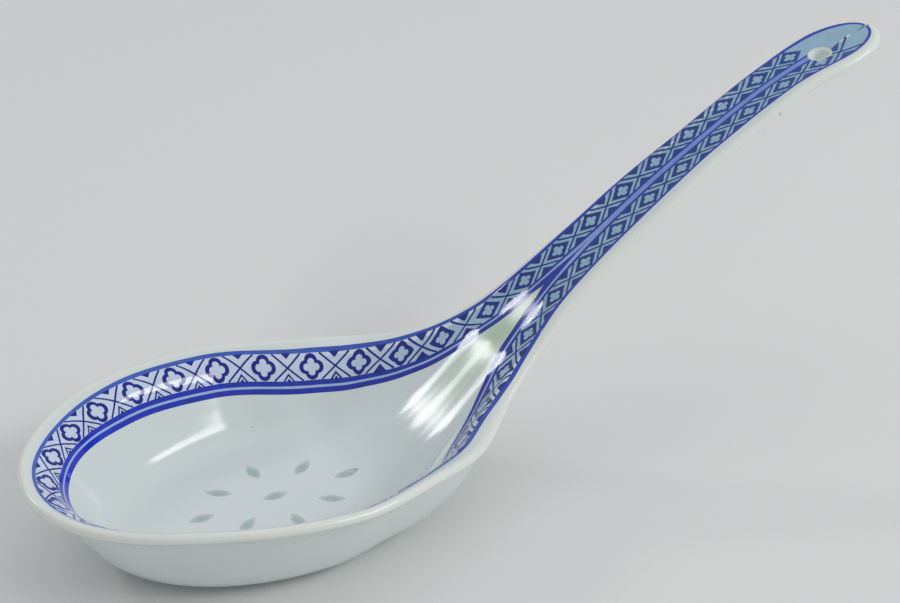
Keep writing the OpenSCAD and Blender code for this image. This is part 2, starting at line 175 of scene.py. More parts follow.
class Sheet:
    """The curved sheet through the middle of the lip. Every face of the spoon is set off from it.

    A point is given by the place x of its profile on the lip and by v, which runs from 0 at the
    lip to 1 on the spoon's middle line.
    """

    PROFILE_STEPS = 60

    def __init__(self, shape, border):
        self.shape = shape
        self.border = border
        self.front_x = -(shape.front_length - shape.lip_radius)
        self.end_x = shape.handle_length - shape.lip_radius
        self.cap_x = self.end_x - shape.cap_length
        self.bowl_half = shape.bowl_width / 2 - shape.lip_radius
        self.waist_half = shape.waist_width / 2 - shape.lip_radius
        self.end_half = shape.end_width / 2 - shape.lip_radius
        self.floor_z = shape.floor_thickness - shape.lip_radius

    def half_width(self, x):
        shape = self.shape
        front = self.bowl_half * np.sqrt(np.clip(1 - (x / self.front_x) ** 2, 0, None))
        cap = self.end_half * np.sqrt(
            np.clip(1 - ((x - self.cap_x) / shape.cap_length) ** 2, 0, None))
        flare = smooth((x - shape.waist_at) / (self.cap_x - shape.waist_at))
        rear = (self.waist_half
                + (self.bowl_half - self.waist_half) * curve(SHOULDER_SHARES,
                                                             x / shape.shoulder_length)
                + (self.end_half - self.waist_half) * flare)
        return np.where(x <= 0, front, np.where(x >= self.cap_x, cap, rear))

    def lip_height(self, x):
        climb = curve(CLIMB_SHARES, (x - self.front_x) / (self.end_x - self.front_x))
        return self.shape.lip_height + (self.shape.end_height - self.shape.lip_height) * climb

    def middle_x(self, x):
        """Where the profile from the lip at x meets the spoon's middle line."""
        step = 0.02 * MM
        slope = (self.half_width(x + step) - self.half_width(x - step)) / (2 * step)
        rear = x + REAR_LEAN_SHARE * self.half_width(x) * slope
        cap = x - (self.end_half / self.shape.cap_length) ** 2 * (x - self.cap_x)
        return np.where(x <= 0, FRONT_PULL_SHARE * x, np.where(x >= self.cap_x, cap, rear))

    def middle_height(self, x):
        rise = smooth((x - self.shape.heel_at) / (self.shape.throat_at - self.shape.heel_at))
        return self.floor_z + (self.lip_height(x) - self.shape.dish_depth - self.floor_z) * rise

    def roundness(self, x):
        return smooth((x - self.shape.round_from)
                      / (self.shape.round_to - self.shape.round_from))

    def depth_share(self, x, v):
        hollow = self.roundness(x)
        return (1 - hollow) * curve(WALL_SHARES, v) + hollow * curve(THROAT_SHARES, v)

    def point(self, x, v):
        """Points on the sheet, on the side towards +Y."""
        x, v = np.broadcast_arrays(np.asarray(x, float), np.asarray(v, float))
        middle = self.middle_x(x)
        bend = np.where(x >= self.cap_x, 0, smooth(x / self.shape.heel_at))
        lip = self.lip_height(x)
        place = middle + (x - middle) * (1 - v) * (1 - bend * v)
        depth = self.depth_share(x, v)
        fading = 1 - ((x - self.cap_x) / self.shape.cap_length) ** 2
        cap = self.lip_height(place) - self.shape.dish_depth * fading * depth
        height = np.where(x > self.cap_x, cap, lip - (lip - self.middle_height(middle)) * depth)
        return np.stack([place, self.half_width(x) * (1 - v), height], axis=-1)

    def normal(self, x, v):
        """Direction out of the sheet's upper face."""
        x, v = np.broadcast_arrays(np.asarray(x, float), np.asarray(v, float))
        down = self.point(x, np.clip(v + 0.001, 0, 1)) - self.point(x, np.clip(v - 0.001, 0, 1))
        inside = 0.001 * MM
        before = np.clip(x - 0.01 * MM, self.front_x + inside, self.end_x - inside)
        after = np.clip(x + 0.01 * MM, self.front_x + inside, self.end_x - inside)
        along = self.point(after, v) - self.point(before, v)
        at_end = (x <= self.front_x + inside) | (x >= self.end_x - inside)
        down = np.where(((v >= 1) & ~at_end)[..., None], [0, -1, 0], down)
        along = np.where(at_end[..., None], [0, 1, 0], along)
        normal = np.cross(along, down)
        normal /= np.linalg.norm(normal, axis=-1, keepdims=True)
        return np.where(normal[..., 2:] < 0, -normal, normal)

    def face(self, x, v, side=1, lift=0.0):
        """Points on the spoon's upper face, or lift above it. side is 1 towards +Y, -1 away."""
        points = self.point(x, v) + (self.shape.lip_radius + lift) * self.normal(x, v)
        return points * np.stack([np.ones_like(points[..., 0]),
                                  np.broadcast_to(side, points[..., 0].shape),
                                  np.ones_like(points[..., 0])], axis=-1)

    def over_lip(self, x, reach, lift):
        """Points on the lip's rounding, reach beyond its crest, on the side towards +Y."""
        lip = self.point(x, 0.0)
        out = lip - self.point(x, 1.0)
        out[..., 2] = 0
        out /= np.linalg.norm(out, axis=-1, keepdims=True)
        turn = (np.clip(reach / self.shape.lip_radius, 0, 1.7))[..., None]
        way = np.cos(turn) * self.normal(x, 0.0) + np.sin(turn) * out
        return lip + (self.shape.lip_radius + lift) * way

    def laid(self, x, v, side=1, lift=0.0):
        """Points of the print: on the upper face, but off the handle's middle as it was laid."""
        x, v, side = np.broadcast_arrays(np.asarray(x, float), np.asarray(v, float),
                                         np.asarray(side, float))
        off = curve(OFF_MIDDLE, x / MM) * MM
        straight = self.face(x, v, side, lift)
        if (off <= 0).all():
            return straight
        plan = self.point(x, v)
        target_x = plan[..., 0]
        target_y = plan[..., 1] * side + off
        mirror = np.where(target_y < 0, -1.0, 1.0)
        target_y = np.abs(target_y)
        low = target_x - 2 * MM
        high = target_x + 16 * MM
        for _ in range(12):
            u = np.clip((low + high) / 2, self.front_x, self.end_x - 0.001 * MM)
            wide = np.maximum(self.half_width(u), 0.01 * MM)
            new_v = 1 - np.clip(target_y / wide, 0, 1)
            short = self.point(u, new_v)[..., 0] < target_x
            low = np.where(short, (low + high) / 2, low)
            high = np.where(short, high, (low + high) / 2)
        wide = self.half_width(u)
        new_v = 1 - np.clip(target_y / np.maximum(wide, 0.01 * MM), 0, 1)
        points = self.face(u, new_v, 1, lift)
        beyond = target_y - wide
        rounded = self.over_lip(u, beyond, lift)
        points = np.where((beyond > 0)[..., None], rounded, points)
        points[..., 1] *= mirror
        return np.where((off <= 0)[..., None], straight, points)

    def underside(self, x, v):
        """Points on the spoon's lower face, cut flat at the foot with a soft edge."""
        shape = self.shape
        thinning = smooth((self.middle_x(x) - shape.heel_at) / (shape.neck_at - shape.heel_at))
        full = shape.wall_thickness + (shape.handle_thickness - shape.wall_thickness) * thinning
        edge = 2 * shape.lip_radius
        share = FRONT_FULL_SHARE + (REAR_FULL_SHARE - FRONT_FULL_SHARE) * self.roundness(x)
        thickness = edge + (full - edge) * smooth(v / share)
        points = (self.point(x, v)
                  - (thickness - shape.lip_radius)[..., None] * self.normal(x, v))
        height = points[..., 2]
        soft = (height + np.sqrt(height ** 2 + shape.foot_blend ** 2 / 4)) / 2
        points[..., 2] = np.where(height > 4 * shape.foot_blend, height,
                                  np.where(height < -shape.foot_blend, 0, soft))
        return points

    def lengths(self, x):
        """Values of v, and for each x the distance from the lip line to them along the profile."""
        v = np.linspace(0, 1, self.PROFILE_STEPS + 1)
        points = self.point(x[:, None], v[None, :])
        steps = np.linalg.norm(np.diff(points, axis=1), axis=2)
        return v, np.concatenate([np.zeros((len(x), 1)), np.cumsum(steps, axis=1)], axis=1)

    def v_at(self, x, distance):
        """The value of v at a distance from the lip line, for each x."""
        v, run = self.lengths(x)
        k = np.clip((run < distance[:, None]).sum(axis=1), 1, self.PROFILE_STEPS)
        row = np.arange(len(x))
        share = (distance - run[row, k - 1]) / (run[row, k] - run[row, k - 1])
        return v[k - 1] + (v[k] - v[k - 1]) * np.clip(share, 0, 1)

    def border_edges(self, x):
        """Distances of the six printed edges from the lip line, for each x: shape (n, 6)."""
        border = self.border
        reach = (x - self.front_x) / (border.taper_to - self.front_x)
        margin = curve(MARGIN_SHARES, reach)[:, None] * border.margin
        laid = curve(BORDER_WIDTH_SHARES, reach)[:, None]
        bowl = margin + laid * np.cumsum([0, border.edge_line, border.lattice,
                                          border.inner_line, border.gap])[None, :]
        grip = np.minimum(self.lengths(x)[1][:, -1], border.grip_reach)[:, None]
        share = smooth((x - border.taper_from) / (border.taper_to - border.taper_from))[:, None]
        five = (1 - share) * bowl + share * np.array(GRIP_SHARES)[None, :] * grip
        total = self.lengths(x)[1][:, -1]
        last = np.minimum(five[:, 4] + border.heart_line, (five[:, 4] + total) / 2)
        return np.concatenate([five, last[:, None]], axis=1)

    def stations(self, front_steps, rear_steps, cap_steps):
        """Places of the profiles on the lip, from the front to the handle's end.

        The last one of the front stands just before the widest place, so that no edge of a piece
        meets a window's corner.
        """
        front = self.front_x * np.cos(np.linspace(0, np.radians(89.7), front_steps + 1))
        rear = np.linspace(0, self.cap_x, rear_steps + 1)[1:]
        turn = np.sin(np.linspace(0, np.pi / 2, cap_steps + 1))[1:]
        return np.concatenate([front, rear, self.cap_x + self.shape.cap_length * turn])


def smooth(t):
    u = np.clip(t, 0, 1)
    return u * u * (3 - 2 * u)


def curve(shares, t):
    """Smooth curve through the points of a table of shares, level at its start."""
    place, value = np.array(shares, float).T
    step = np.diff(place)
    secant = np.diff(value) / step
    slope = np.concatenate([
        [0], (secant[:-1] * step[1:] + secant[1:] * step[:-1]) / (step[1:] + step[:-1]),
        secant[-1:]])
    u = np.clip(t, place[0], place[-1])
    k = np.clip(np.searchsorted(place, u, side="right") - 1, 0, len(place) - 2)
    s = (u - place[k]) / step[k]
    return ((2 * s ** 3 - 3 * s ** 2 + 1) * value[k] + (s ** 3 - 2 * s ** 2 + s) * step[k] * slope[k]
            + (3 * s ** 2 - 2 * s ** 3) * value[k + 1] + (s ** 3 - s ** 2) * step[k] * slope[k + 1])


def the_sheet():
    scene = bpy.context.scene
    return Sheet(scene.spoon_shape, scene.spoon_border)


class Band:
    """Lays flat drawings on the lattice band.

    A drawing's first number runs along the band's middle from the front centre, above zero on
    the side towards +Y. Its second number runs across, from the inner line to the edge line.
    """

    def __init__(self, sheet):
        self.sheet = sheet
        self.x = sheet.stations(160, 420, 60)
        edges = sheet.border_edges(self.x)
        self.outer = edges[:, 1]
        self.inner = edges[:, 2]
        v = sheet.v_at(self.x, (self.outer + self.inner) / 2)
        middle = sheet.face(self.x, v)
        middle[:, 1] = np.where(self.x > sheet.cap_x, middle[self.x <= sheet.cap_x][-1, 1],
                                middle[:, 1])
        steps = np.linalg.norm(np.diff(middle, axis=0), axis=1)
        self.run = np.concatenate([[0], np.cumsum(steps)])
        self.half = sheet.border.lattice / 2
        self.inset = self.outer[self.x <= sheet.cap_x][-1]
        self.tip_x = sheet.end_x - self.inset
        self.end = np.interp(self.tip_x, self.x, self.run)

    def wrap(self, along, across, lift):
        """Places on the spoon of points of a flat drawing."""
        side = np.where(along < 0, -1.0, 1.0)
        x = np.interp(np.minimum(np.abs(along), self.end), self.run, self.x)
        share = across / self.half
        outer = np.interp(x, self.x, self.outer)
        inner = np.interp(x, self.x, self.inner)
        distance = (outer + inner) / 2 - share * (inner - outer) / 2
        v = self.sheet.v_at(x, distance)
        grip = x > GRIP_FROM * MM
        if grip.any():
            x[grip], v[grip] = self.on_grip(x[grip], share[grip])
        return self.sheet.laid(x, v, side, lift)

    def on_grip(self, x, share):
        """Profile places on the handle's end, where the two bands run on side by side."""
        sheet = self.sheet
        at = np.minimum(x, sheet.cap_x)
        width = sheet.half_width(at)
        outer_v = sheet.v_at(at, np.interp(at, self.x, self.outer))
        inner_v = sheet.v_at(at, np.interp(at, self.x, self.inner))
        past = np.clip((x - sheet.cap_x) / (self.tip_x - sheet.cap_x), 0, 1)
        outer_y = width * (1 - outer_v) * np.sqrt(1 - past ** 2)
        hole_x = HOLE["pos_m"][0]
        closing = smooth((x - hole_x) / (4 * HOLE["dims"]["r_mm"] * MM))
        inner_y = np.minimum(width * (1 - inner_v) * (1 - 0.97 * closing), outer_y * 0.9)
        y = (outer_y + inner_y) / 2 + share * (outer_y - inner_y) / 2
        return self.solve(x, y)

    def solve(self, x, y):
        """Profile places of points of the sheet given by their plan."""
        sheet = self.sheet
        u = x.copy()
        pull = (sheet.end_half / sheet.shape.cap_length) ** 2
        for _ in range(40):
            v = 1 - np.clip(y / np.maximum(sheet.half_width(u), 0.01 * MM), 0, 1)
            cap = np.maximum(u - sheet.cap_x, 0)
            u = np.clip(0.5 * u + 0.5 * (x + pull * cap * v), x, sheet.end_x - 0.001 * MM)
        return u, 1 - np.clip(y / np.maximum(sheet.half_width(u), 0.01 * MM), 0, 1)


def deselect():
    bpy.ops.object.select_all(action="DESELECT")


def choose(*objects):
    """Selects these objects alone, the last one active."""
    deselect()
    for obj in objects:
        obj.select_set(True)
    bpy.context.view_layer.objects.active = objects[-1]


def places(mesh):
    values = np.empty(len(mesh.vertices) * 3)
    mesh.vertices.foreach_get("co", values)
    return values.reshape(-1, 3)


def set_places(mesh, points):
    mesh.vertices.foreach_set("co", np.ascontiguousarray(points, float).ravel())
    mesh.update()


def plain_grid(columns, rows):
    """A grid primitive, and the column and row of each of its points."""
    deselect()
    bpy.ops.mesh.primitive_grid_add(x_subdivisions=columns - 1, y_subdivisions=rows - 1, size=1)
    grid = bpy.context.active_object
    flat = places(grid.data)
    column = np.rint((flat[:, 0] + 0.5) * (columns - 1)).astype(int)
    row = np.rint((flat[:, 1] + 0.5) * (rows - 1)).astype(int)
    return grid, column, row


def placed_grid(points):
    """A grid whose points are moved to the given places, (columns, rows, 3)."""
    grid, column, row = plain_grid(*points.shape[:2])
    set_places(grid.data, points[column, row])
    return grid


def weld(obj, distance=0.002 * MM):
    """Merges doubled points, drops loose edges and turns all faces outwards."""
    choose(obj)
    bpy.ops.object.mode_set(mode="EDIT")
    bpy.ops.mesh.select_all(action="SELECT")
    bpy.ops.mesh.remove_doubles(threshold=distance)
    bpy.ops.mesh.delete_loose()
    bpy.ops.mesh.select_all(action="SELECT")
    bpy.ops.mesh.normals_make_consistent(inside=False)
    bpy.ops.object.mode_set(mode="OBJECT")


def face_up(obj):
    """Turns an open skin so that its faces look up out of the spoon."""
    if sum(polygon.normal.z * polygon.area for polygon in obj.data.polygons) < 0:
        choose(obj)
        bpy.ops.object.mode_set(mode="EDIT")
        bpy.ops.mesh.select_all(action="SELECT")
        bpy.ops.mesh.flip_normals()
        bpy.ops.object.mode_set(mode="OBJECT")


def apply_modifier(obj, kind, **settings):
    choose(obj)
    modifier = obj.modifiers.new(kind.lower(), kind)
    for name, value in settings.items():
        setattr(modifier, name, value)
    bpy.ops.object.modifier_apply(modifier=modifier.name)


def cut_out(obj, cutter):
    """Takes the cutter's space out of obj and removes the cutter."""
    apply_modifier(obj, "BOOLEAN", operation="DIFFERENCE", solver="MANIFOLD", object=cutter)
    bpy.data.objects.remove(cutter)


def round_off(obj, degrees=35):
    choose(obj)
    bpy.ops.object.shade_smooth_by_angle(angle=np.radians(degrees))


def join(objects):
    choose(*objects)
    bpy.ops.object.join()
    return bpy.context.active_object


def hand_over(obj, name, slot, material, *nodes):
    """Names a finished piece, gives it its material, hangs it under the root and hides the solids it
    stands for.
    """
    obj.name = name
    obj.data.name = name
    obj.data.materials.clear()
    obj.data.materials.append(material)
    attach(obj, "root")
    if nodes:
        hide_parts(*nodes)


def both_sides(half, count):
    """Columns of a piece that goes round the front: the half towards +Y and its mirror image."""
    mirror = half[::-1][:count] * np.array([1, -1, 1])
    return np.concatenate([mirror, half])


def hole_cutter():
    """A plug for the hanging hole, flared at both ends as the glaze rounds them."""
    radius = HOLE["dims"]["r_mm"] * MM
    half = HOLE["dims"]["length_mm"] * MM / 2
    flare = 0.55 * MM
    turns = np.radians([0, 22, 45, 68, 90])
    heights = np.concatenate([[-4 * half], -half - flare * (np.sin(turns[::-1]) - 0.5),
                              half + flare * (np.sin(turns) - 0.5), [4 * half]])
    widths = np.concatenate([[radius + 2 * flare], radius + flare * (1 - np.cos(turns[::-1])),
                             radius + flare * (1 - np.cos(turns)), [radius + 2 * flare]])
    deselect()
    bpy.ops.mesh.primitive_circle_add(vertices=64, radius=widths[0], fill_type="NGON",
                                      location=(0, 0, heights[0]))
    plug = bpy.context.active_object
    bpy.ops.object.mode_set(mode="EDIT")
    bpy.ops.mesh.select_all(action="SELECT")
    for k in range(1, len(heights)):
        rise = (0, 0, heights[k] - heights[k - 1])
        bpy.ops.mesh.extrude_region_move(TRANSFORM_OT_translate={"value": rise})
        grow = widths[k] / widths[k - 1]
        bpy.ops.transform.resize(value=(grow, grow, 1))
    bpy.ops.mesh.select_all(action="SELECT")
    bpy.ops.mesh.normals_make_consistent(inside=False)
    bpy.ops.object.mode_set(mode="OBJECT")
    turn = Vector(HOLE["axis"]).to_track_quat("Z", "Y").to_matrix().to_4x4()
    plug.data.transform(Matrix.Translation(HOLE["pos_m"]) @ turn @ Matrix.Translation(plug.location))
    plug.location = (0, 0, 0)
    return plug


def grain_outline(angle, grow=0.0):
    """A window's outline, pointed at both ends, at the angles of a circle's points."""
    windows = bpy.context.scene.spoon_windows
    half_length = windows.length / 2 + 2 * grow
    half_width = windows.width / 2 + grow
    reach = np.cos(angle)
    side = np.sign(np.sin(angle)) * (1 - reach ** 2)
    return np.stack([half_length * reach, half_width * side], axis=-1)


def grain_plug(low, high, sag, grow):
    """A plug of a window's outline. Its two faces are dished by sag towards the middle."""
    deselect()
    bpy.ops.mesh.primitive_circle_add(vertices=48, radius=1, fill_type="NGON")
    plug = bpy.context.active_object
    bpy.ops.object.mode_set(mode="EDIT")
    bpy.ops.mesh.select_all(action="SELECT")
    bpy.ops.mesh.extrude_region_move(TRANSFORM_OT_translate={"value": (0, 0, 1)})
    bpy.ops.mesh.select_mode(type="FACE")
    bpy.ops.object.mode_set(mode="OBJECT")
    rings = [1, 0.92, 0.8, 0.64, 0.46, 0.26, 0.08]
    for polygon in plug.data.polygons:
        polygon.select = abs(polygon.normal.z) > 0.5
    bpy.ops.object.mode_set(mode="EDIT")
    for k in range(1, len(rings)):
        bpy.ops.mesh.inset(thickness=rings[k - 1] - rings[k], use_individual=True)
    bpy.ops.mesh.select_all(action="SELECT")
    bpy.ops.mesh.normals_make_consistent(inside=False)
    bpy.ops.object.mode_set(mode="OBJECT")
    points = places(plug.data)
    reach = np.hypot(points[:, 0], points[:, 1])
    outline = grain_outline(np.arctan2(points[:, 1], points[:, 0]), grow)
    top = points[:, 2] > 0.5
    dish = sag * (1 - np.clip(reach, 0, 1) ** 2)
    height = np.where(top, high - dish, low + dish)
    set_places(plug.data, np.column_stack([outline * reach[:, None], height]))
    # glaze_depth runs from 0 at the rim to 1 in the middle; the window's painted shade deepens with it
    depth = plug.data.attributes.new("glaze_depth", "FLOAT", "POINT")
    depth.data.foreach_set("value", np.clip((1 - reach) / 0.5, 0, 1))
    return plug


def at_window(plug, k):
    """A copy of a plug at the place of window k, pointing at the middle one."""
    copy = plug.copy()
    copy.data = plug.data.copy()
    bpy.context.collection.objects.link(copy)
    place = WINDOW_PLACES[k]
    flat = Vector((place.x, place.y, 0))
    turn = Matrix.Rotation(np.arctan2(place.y, place.x), 4, "Z") if flat.length > MM else Matrix()
    copy.data.transform(Matrix.Translation(flat) @ turn)
    return copy


class SPOON_OT_body(bpy.types.Operator):
    """Model the glazed body with its hanging hole and pierced openings"""
    bl_idname = "spoon.body"
    bl_label = "Porcelain body"

    def execute(self, context):
        sheet = the_sheet()
        shape = context.scene.spoon_shape
        x = sheet.stations(56, 160, 24)
        total = sheet.lengths(x)[1][:, -1]
        upper_v = np.stack([sheet.v_at(x, total * share) for share in np.linspace(1, 0, 65)],
                           axis=1)
        lower_v = np.stack([sheet.v_at(x, total * share) for share in np.linspace(0, 1, 49)],
                           axis=1)
        spread = x[:, None]
        upper = sheet.face(np.broadcast_to(spread, upper_v.shape), upper_v)
        lower = sheet.underside(np.broadcast_to(spread, lower_v.shape), lower_v)
        lip = sheet.point(x, 0.0)
        out = lip - sheet.point(x, 1.0)
        out[:, 2] = 0
        out /= np.linalg.norm(out, axis=1, keepdims=True)
        up = sheet.normal(x, 0.0)
        turns = np.radians(np.linspace(0, 180, 13)[1:-1])
        rim = (lip[:, None] + shape.lip_radius
               * (np.cos(turns)[None, :, None] * up[:, None]
                  + np.sin(turns)[None, :, None] * out[:, None]))
        half = np.concatenate([upper, rim, lower], axis=1)
        body = placed_grid(both_sides(half, len(x)))
        weld(body)
        cut_out(body, hole_cutter())
        cutter = grain_plug(-MM, shape.floor_thickness + MM, 0, 0)
        cutters = join([at_window(cutter, k) for k in range(len(WINDOW_NODES))])
        bpy.data.objects.remove(cutter)
        cut_out(body, cutters)
        self.mark_lip(body, sheet)
        self.mark_throat(body, sheet)
        round_off(body)
        hand_over(body, "glazed_body", "glazed_porcelain", glazed_porcelain(), "porcelain_body")
        return {"FINISHED"}

    def mark_lip(self, body, sheet):
        """Stores how near each point is to the lip, where the glaze has run thin."""
        x = sheet.stations(56, 160, 24)
        line = sheet.point(x, 0.0)
        line = np.concatenate([line, line * np.array([1, -1, 1])])
        points = places(body.data)
        gap = np.full(len(points), 1.0)
        for place in line:
            gap = np.minimum(gap, np.linalg.norm(points - place, axis=1))
        thin = 1 - smooth((gap / sheet.shape.lip_radius - 0.6) / 0.75)
        attribute = body.data.attributes.new("thin_glaze", "FLOAT", "POINT")
        attribute.data.foreach_set("value", thin)

    def mark_throat(self, body, sheet):
        """Stores where the glaze has pooled, along the bottom of the throat's hollow."""
        points = places(body.data)
        normals = np.empty(points.size)
        body.data.vertices.foreach_get("normal", normals)
        off_middle = np.abs(points[:, 1]) / (9 * MM)
        along = np.abs(points[:, 0] - 56 * MM) / (24 * MM)
        pooled = smooth(1 - off_middle) * smooth(1.2 - along) * (normals[2::3] > 0.2)
        attribute = body.data.attributes.new("pooled_glaze", "FLOAT", "POINT")
        attribute.data.foreach_set("value", pooled)


class SPOON_OT_windows(bpy.types.Operator):
    """Fill the nine pierced openings with clear glaze"""
    bl_idname = "spoon.windows"
    bl_label = "Rice-grain windows"

    def execute(self, context):
        shape = context.scene.spoon_shape
        sag = context.scene.spoon_windows.sag
        plug = grain_plug(sag, shape.floor_thickness - 0.01 * MM, sag, 0.02 * MM)
        round_off(plug)
        material = window_glaze()
        for k, node in enumerate(WINDOW_NODES):
            window = at_window(plug, k)
            hand_over(window, f"window_{k + 1}", "window_glaze", material, node)
        bpy.data.objects.remove(plug)
        return {"FINISHED"}


def strip(sheet, x, low, high, lift, rows=3):
    """An open skin that lies on the face between two distances from the lip line."""
    v = np.stack([sheet.v_at(x, low + (high - low) * share) for share in np.linspace(0, 1, rows)],
                 axis=1)
    place = np.broadcast_to(x[:, None], v.shape)
    far = sheet.laid(place, v, 1, lift)
    near = sheet.laid(place, v, -1, lift)
    return placed_grid(np.concatenate([near[::-1], far]))


def thicken(skin):
    """Gives an open printed skin its height, downwards, and closes its edges."""
    weld(skin, 0.0005 * MM)
    face_up(skin)
    apply_modifier(skin, "SOLIDIFY", thickness=bpy.context.scene.spoon_border.print_height,
                   offset=-1)


def clear_of_hole(skin, margin):
    """Cuts a printed piece away round the hanging hole, where the pooled glaze stays white."""
    deselect()
    hole = Vector(HOLE["pos_m"])
    bpy.ops.mesh.primitive_circle_add(vertices=64, radius=HOLE["dims"]["r_mm"] * MM + margin,
                                      fill_type="NGON")
    plug = bpy.context.active_object
    bpy.ops.object.mode_set(mode="EDIT")
    bpy.ops.mesh.select_all(action="SELECT")
    bpy.ops.mesh.extrude_region_move(TRANSFORM_OT_translate={"value": (0, 0, 20 * MM)})
    bpy.ops.mesh.select_all(action="SELECT")
    bpy.ops.mesh.normals_make_consistent(inside=False)
    bpy.ops.object.mode_set(mode="OBJECT")
    turn = Vector(HOLE["axis"]).to_track_quat("Z", "Y").to_matrix().to_4x4()
    plug.data.transform(Matrix.Translation(hole) @ turn @ Matrix.Translation((0, 0, -10 * MM)))
    cut_out(skin, plug)


class SPOON_OT_lines(bpy.types.Operator):
    """Lay the three blue lines and the pale stripe between them"""
    bl_idname = "spoon.lines"
    bl_label = "Printed lines"

    def execute(self, context):
        sheet = the_sheet()
        border = context.scene.spoon_border
        x = sheet.stations(90, 260, 40)
        edges = sheet.border_edges(x)
        lift = border.print_height

        edge = strip(sheet, x, edges[:, 0], edges[:, 1], lift)
        thicken(edge)
        round_off(edge)
        hand_over(edge, "edge_stroke", "cobalt_print", edge_cobalt(), "edge_line")

        on = x <= HOLE["pos_m"][0]
        inner = strip(sheet, x[on], edges[on, 2], edges[on, 3], lift)
        thicken(inner)
        clear_of_hole(inner, 0.8 * MM)
        round_off(inner)
        hand_over(inner, "inner_stroke", "cobalt_print", line_cobalt(), "inner_line")

        total = sheet.lengths(x)[1][:, -1]
        on = x <= border.heart_ends_at
        meeting = smooth((x - (border.heart_meets_at - 3 * MM)) / (3 * MM))
        fading = 1 - smooth((x - border.heart_meets_at) / (border.heart_ends_at - border.heart_meets_at))
        high = edges[:, 5] + (total - edges[:, 5]) * meeting
        low = edges[:, 4] + (total - edges[:, 4]) * (1 - fading) * 0.96
        heart = strip(sheet, x[on], low[on], high[on], lift)
        thicken(heart)
        round_off(heart)
        hand_over(heart, "heart_stroke", "cobalt_print", line_cobalt(), "heart_line")

        on = x <= HOLE["pos_m"][0]
        past = x > border.heart_meets_at
        high = np.where(past, total, edges[:, 4])
        stripe = strip(sheet, x[on], edges[on, 3], high[on], lift * 0.6)
        thicken(stripe)
        clear_of_hole(stripe, 0.8 * MM)
        round_off(stripe)
        hand_over(stripe, "pale_stripe", "cobalt_print", stripe_wash())
        return {"FINISHED"}


# Flower centres along the band, counted from the front centre. The two rows were printed with
# slightly different steps, and the far one drifts.
FAR_FLOWERS = (7.3, 10.55, 22)
FAR_DRIFT = [(0, 0), (18, -1.2), (39, -3.1), (60, -2.3), (81, -1.8), (102, -0.7), (123, -1.4),
             (134, 0.6), (144, 0.9), (160, 0.4), (200, -0.3), (218, 0), (239, -1.2)]
NEAR_FLOWERS = [(2.0, 10.28, 12), (125.4, 10.6, 12)]
# Where the far row skips a crossing because the hanging hole takes its place
SKIPPED = 233.3


def flower_places():
    """Places of the flowers on the band's two sides, in metres, from the near end to the far."""
    start, step, count = FAR_FLOWERS
    far = start + step * np.arange(count + 1)
    far += np.interp(far, *np.array(FAR_DRIFT).T)
    near = np.concatenate([start + step * np.arange(count) for start, step, count in NEAR_FLOWERS])
    return np.concatenate([-near[::-1], far]) * MM


def crossing_places():
    flowers = flower_places()
    between = (flowers[1:] + flowers[:-1]) / 2
    return between[np.abs(between - SKIPPED * MM) > 3 * MM]


def lobes(angle, distance, radius):
    """Reach of a four-lobed outline at each angle."""
    turn = (angle + np.pi / 4) % (np.pi / 2) - np.pi / 4
    return (distance * np.cos(turn)
            + np.sqrt(np.maximum(radius ** 2 - (distance * np.sin(turn)) ** 2, 0)))


def diamond(angle, along, across):
    return 1 / (np.abs(np.cos(angle)) / along + np.abs(np.sin(angle)) / across)


def flower_drawing(heavy):
    """The dark ring round a four-petalled flower. heavy is 0 in the bowl and 1 on the handle."""
    angle = np.linspace(0, 2 * np.pi, 65)
    inner = lobes(angle, 1.02 - 0.12 * heavy, 0.78 - 0.1 * heavy)
    outer = ((1 - heavy) * lobes(angle, 1.3, 1.42)
             + heavy * np.maximum(diamond(angle, 3.35, 2.85), lobes(angle, 1.2, 1.2)))
    reach = inner[:, None] + (outer - inner)[:, None] * np.linspace(0, 1, 4)[None, :]
    stretch = 1.04
    return np.stack([reach * np.cos(angle)[:, None] * stretch,
                     reach * np.sin(angle)[:, None]], axis=-1)


def bar_drawing(heavy, slope):
    """One of the two thin bars that cross between flowers."""
    way = np.linspace(-1, 1, 25)
    along = (3.35 + 0.25 * heavy) * way
    across = slope * 2.75 * way
    run = np.hypot(3.35, 2.75)
    side = np.stack([-slope * 2.75 / run, 3.35 / run])
    half = (0.2 + 0.04 * heavy) * np.ones(25)
    middle = np.stack([along, across], axis=-1)
    return np.stack([middle - half[:, None] * side, middle,
                     middle + half[:, None] * side], axis=1)


def triangle_drawing(heavy):
    """The filled triangle that hangs from the band's outer edge between two bars."""
    down = np.linspace(0, 1, 7)
    half = (1.15 + 0.7 * heavy) * (1 - down) ** 0.9
    deep = 1.15 + 0.65 * heavy
    across = np.linspace(-1, 1, 9)
    return np.stack([across[:, None] * half[None, :],
                     np.broadcast_to(2.93 - deep * down, (9, 7))], axis=-1)


def chevron_drawing(heavy):
    """The pointed arch that stands on the band's inner edge between two bars."""
    way = np.linspace(-1, 1, 25)
    outer = np.stack([(1.5 + 0.35 * heavy) * way, -2.93 + (1.85 + 0.1 * heavy) * (1 - np.abs(way))],
                     axis=-1)
    inner = np.stack([(1.02 - 0.96 * heavy) * way,
                      -2.93 + (1.25 - 1.15 * heavy) * (1 - np.abs(way))], axis=-1)
    share = np.linspace(0, 1, 4)[None, :, None]
    return outer[:, None] * (1 - share) + inner[:, None] * share


def core_drawing(heavy):
    """The small filled triangle under that arch."""
    up = np.linspace(0, 1, 5)
    half = 0.6 * (1 - up)
    across = np.linspace(-1, 1, 7)
    return np.stack([across[:, None] * half[None, :],
                     np.broadcast_to(-2.93 + 0.75 * up, (7, 5))], axis=-1)


